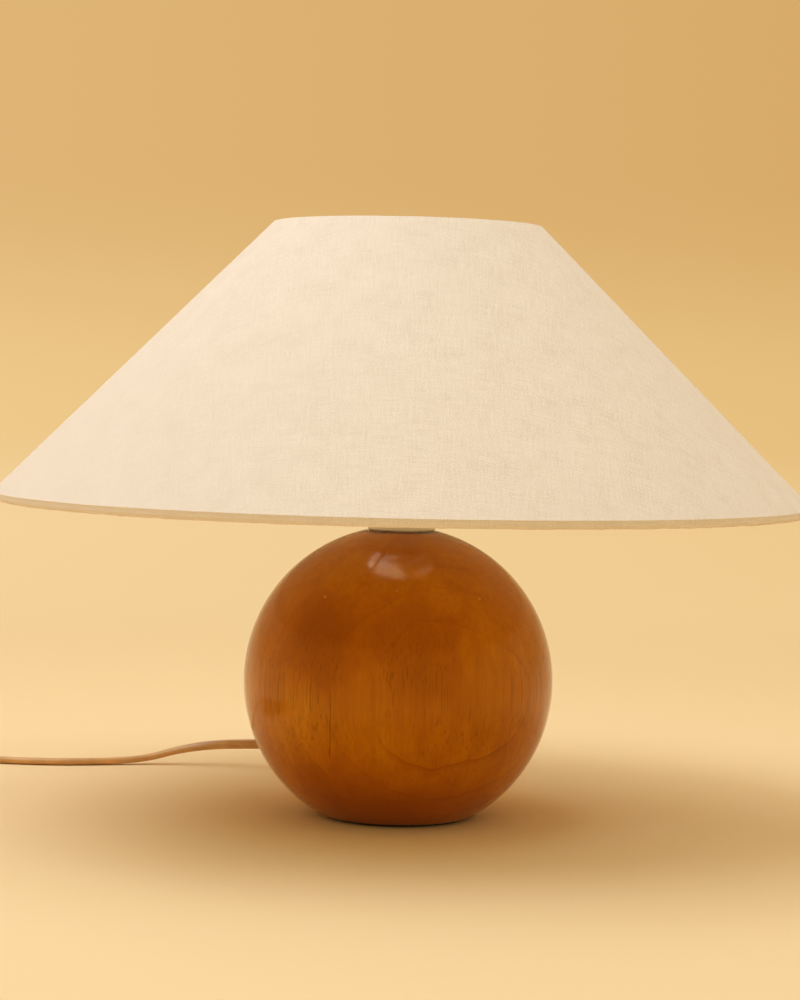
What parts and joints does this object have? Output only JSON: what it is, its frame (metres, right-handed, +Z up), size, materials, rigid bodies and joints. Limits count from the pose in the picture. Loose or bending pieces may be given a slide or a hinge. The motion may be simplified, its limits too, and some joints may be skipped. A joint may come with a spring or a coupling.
{
  "type": "table lamp",
  "caption": "Table lamp with a turned wooden ball base, wide cone shade in linen, bulb and flat lead with rocker switch and plug.",
  "frame": {"origin": "middle of the felt pad's underside, on the surface that the lamp stands on", "axes": "+Z up along the ball's and shade's axis, -Y towards the front seen in the picture, the lead leaves at +Y"},
  "size_m": [0.5651, 0.4512, 0.3293],
  "materials": {
    "lacquered_wood": "turned wood, orange-brown satin lacquer",
    "felt": "dark brown pressed felt",
    "plated_steel": "zinc-plated steel",
    "cream_plastic": "cream moulded thermoplastic",
    "porcelain": "white glazed porcelain",
    "brass": "plain brass",
    "white_wire": "white-lacquered steel wire and sheet",
    "linen": "off-white linen, plain weave with slubs",
    "liner_plastic": "white laminated lining",
    "bulb_glass": "clear glass",
    "bulb_metal": "rolled aluminium",
    "black_glass": "black glass insulator",
    "filament_wire": "dark tungsten and nickel wire",
    "lead_plastic": "gold-tan flat PVC flex",
    "core_brown": "brown PVC",
    "core_blue": "blue PVC",
    "switch_plastic": "cream moulded plastic",
    "pin_metal": "nickel-plated brass"
  },
  "bodies": {
    "base": {"ball_base": "lacquered_wood", "felt_pad": "felt", "threaded_tube": "plated_steel", "tube_washer": "plated_steel", "tube_nut": "plated_steel", "cord_bush": "cream_plastic", "holder_cap": "cream_plastic", "holder_lock_screw": "plated_steel", "holder_insert": "porcelain", "holder_sleeve": "cream_plastic", "screw_shell": "brass", "centre_contact": "brass", "terminal_blocks": "brass", "terminal_screws": "plated_steel", "contact_rivets": "brass", "inner_lead": "lead_plastic", "live_core": "core_brown", "neutral_core": "core_blue", "cord_to_switch": "lead_plastic", "cord_to_coil": "lead_plastic", "cord_to_plug": "lead_plastic", "cord_coil": "lead_plastic", "switch_lower_shell": "switch_plastic", "switch_upper_shell": "switch_plastic", "switch_screws": "plated_steel", "switch_clamps": "brass", "switch_contact": "brass", "plug_body": "switch_plastic", "plug_sleeve": "switch_plastic", "plug_pins": "pin_metal", "pin_covers": "switch_plastic"},
    "shade": {"fitter_ring": "white_wire", "spokes": "white_wire", "bottom_ring": "white_wire", "top_ring": "white_wire", "shade_liner": "liner_plastic", "linen_cover": "linen", "bottom_hem": "linen", "top_hem": "linen"},
    "shade_ring": {"shade_ring": "cream_plastic"},
    "bulb": {"bulb_glass": "bulb_glass", "bulb_cap": "bulb_metal", "bulb_insulator": "black_glass", "bulb_tip": "bulb_metal", "bulb_stem": "bulb_glass", "bulb_filament": "filament_wire", "filament_supports": "filament_wire"},
    "rocker": {"switch_rocker": "switch_plastic"}
  },
  "joints": [
    {"name": "shade_turn", "type": "hinge", "parent": "base", "child": "shade", "pos_m": [0, 0, 0.1865], "axis": [0, 0, 1], "continuous": true},
    {"name": "shade_ring_turn", "type": "hinge", "parent": "base", "child": "shade_ring", "pos_m": [0, 0, 0.192], "axis": [0, 0, 1], "continuous": true},
    {"name": "bulb_unscrew", "type": "hinge", "parent": "base", "child": "bulb", "pos_m": [0, 0, 0.2], "axis": [0, 0, 1], "range_deg": [0, 1080]},
    {"name": "switch_rock", "type": "hinge", "parent": "base", "child": "rocker", "pos_m": [-0.322, 0.061, 0.0134], "axis": [1, 0, 0], "range_deg": [0, 18]}
  ]
}
